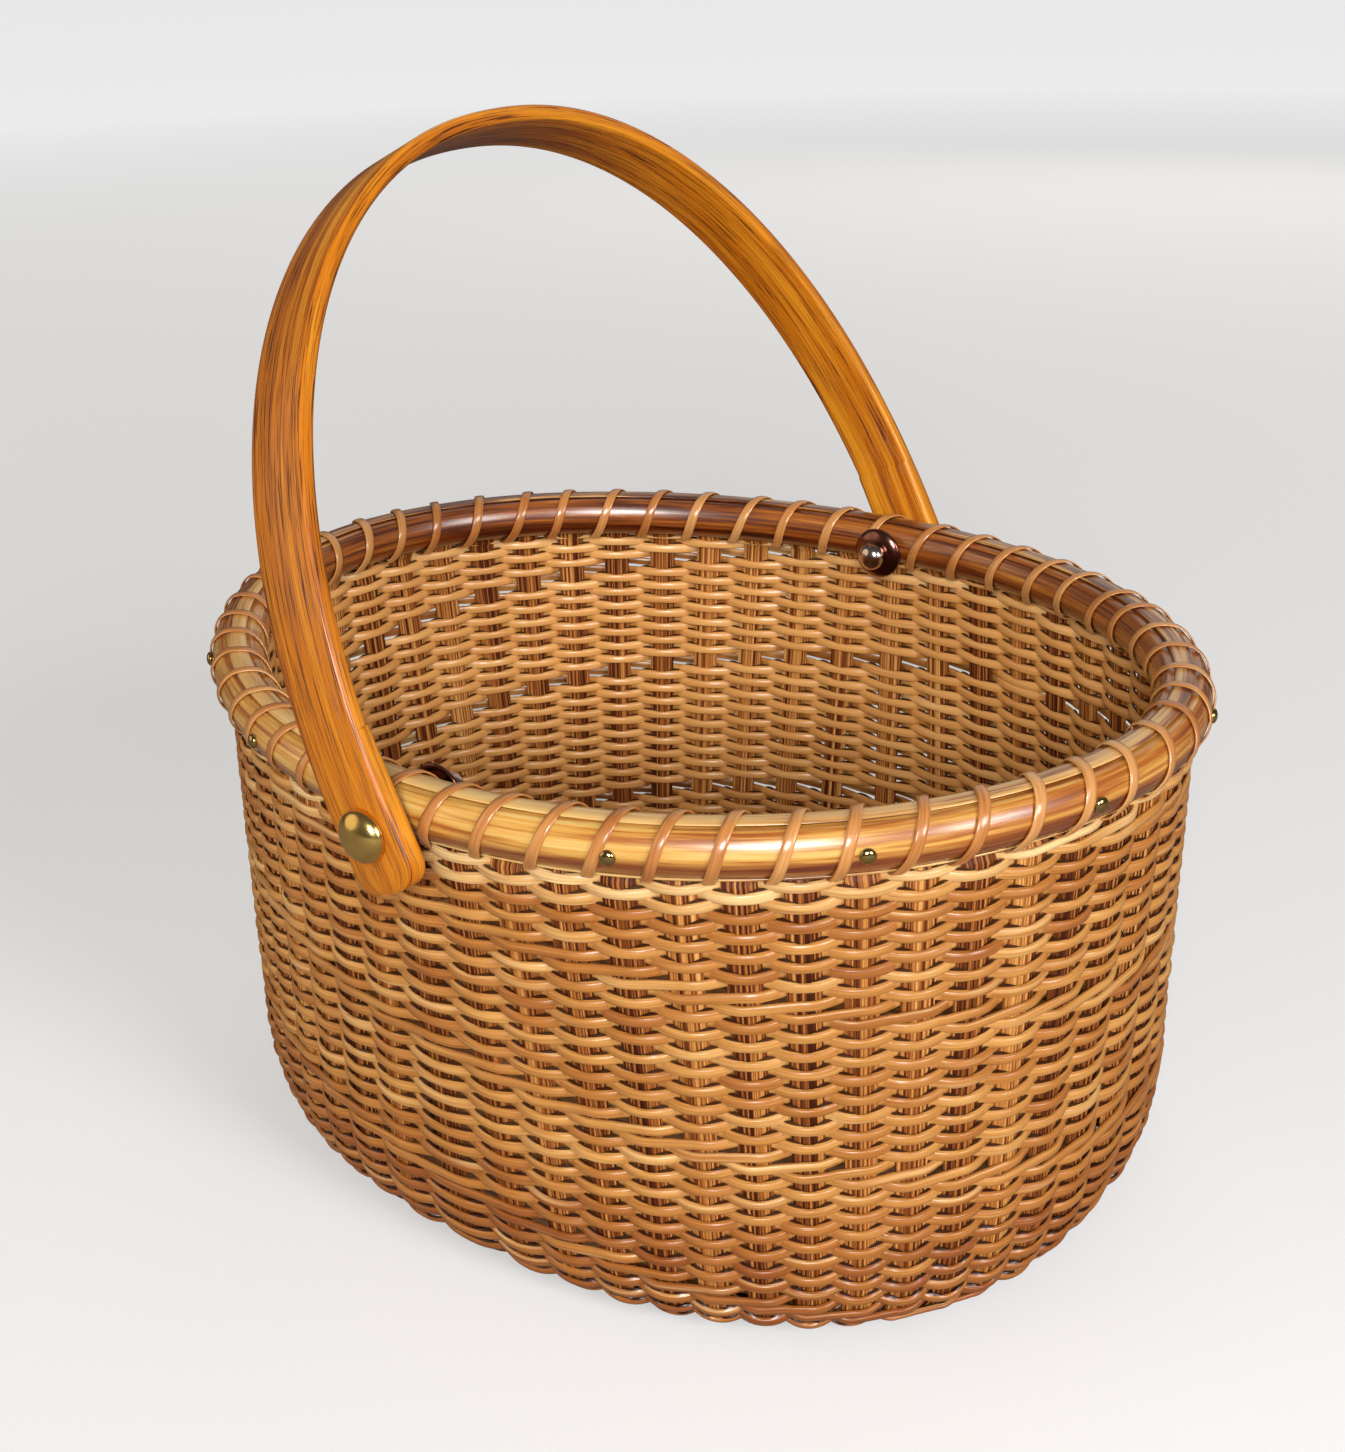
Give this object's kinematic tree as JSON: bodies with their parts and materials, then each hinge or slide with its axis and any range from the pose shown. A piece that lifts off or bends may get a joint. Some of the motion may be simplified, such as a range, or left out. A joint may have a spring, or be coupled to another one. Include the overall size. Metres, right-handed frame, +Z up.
{
  "type": "oval woven basket with swing handle",
  "caption": "Oval cane basket woven over wooden staves, with a wooden base, a lashed double rim and a bentwood swing handle on brass pins.",
  "frame": {"origin": "on the table under the middle of the basket", "axes": "+X along the basket's long way, +Y along the handle's pins towards the back pin, +Z up"},
  "size_m": [0.2227, 0.202, 0.2156],
  "materials": {
    "base_wood": "satin varnish",
    "woven_cane": "honey-tan cane with a satin sheen",
    "rim_wood": "gloss varnish",
    "rim_cane": "satin varnish",
    "lashing_cane": "gloss varnish",
    "oak_handle": "satin varnish over open oak grain",
    "brass": "polished",
    "dark_bronze": "dark patina, polished"
  },
  "bodies": {
    "basket": {"base_plate": "base_wood", "woven_wall": "woven_cane", "outer_rim": "rim_wood", "inner_rim": "rim_wood", "rim_top_cane": "rim_cane", "rim_lower_cane": "rim_cane", "rim_lashing": "lashing_cane", "front_pin": "brass", "back_pin": "brass", "front_washer": "dark_bronze", "back_washer": "dark_bronze", "front_cap_nut": "dark_bronze", "back_cap_nut": "dark_bronze", "rim_nail_01": "brass", "rim_nail_02": "brass", "rim_nail_03": "brass", "rim_nail_04": "brass", "rim_nail_05": "brass", "rim_nail_06": "brass", "rim_nail_07": "brass", "rim_nail_08": "brass", "rim_nail_09": "brass", "rim_nail_10": "brass", "rim_nail_11": "brass", "rim_nail_12": "brass"},
    "handle": {"handle": "oak_handle"}
  },
  "joints": [
    {"name": "handle_swing", "type": "hinge", "parent": "basket", "child": "handle", "pos_m": [0, 0, 0.1039], "axis": [0, 1, 0], "range_deg": [-84.6, 135.4]}
  ]
}
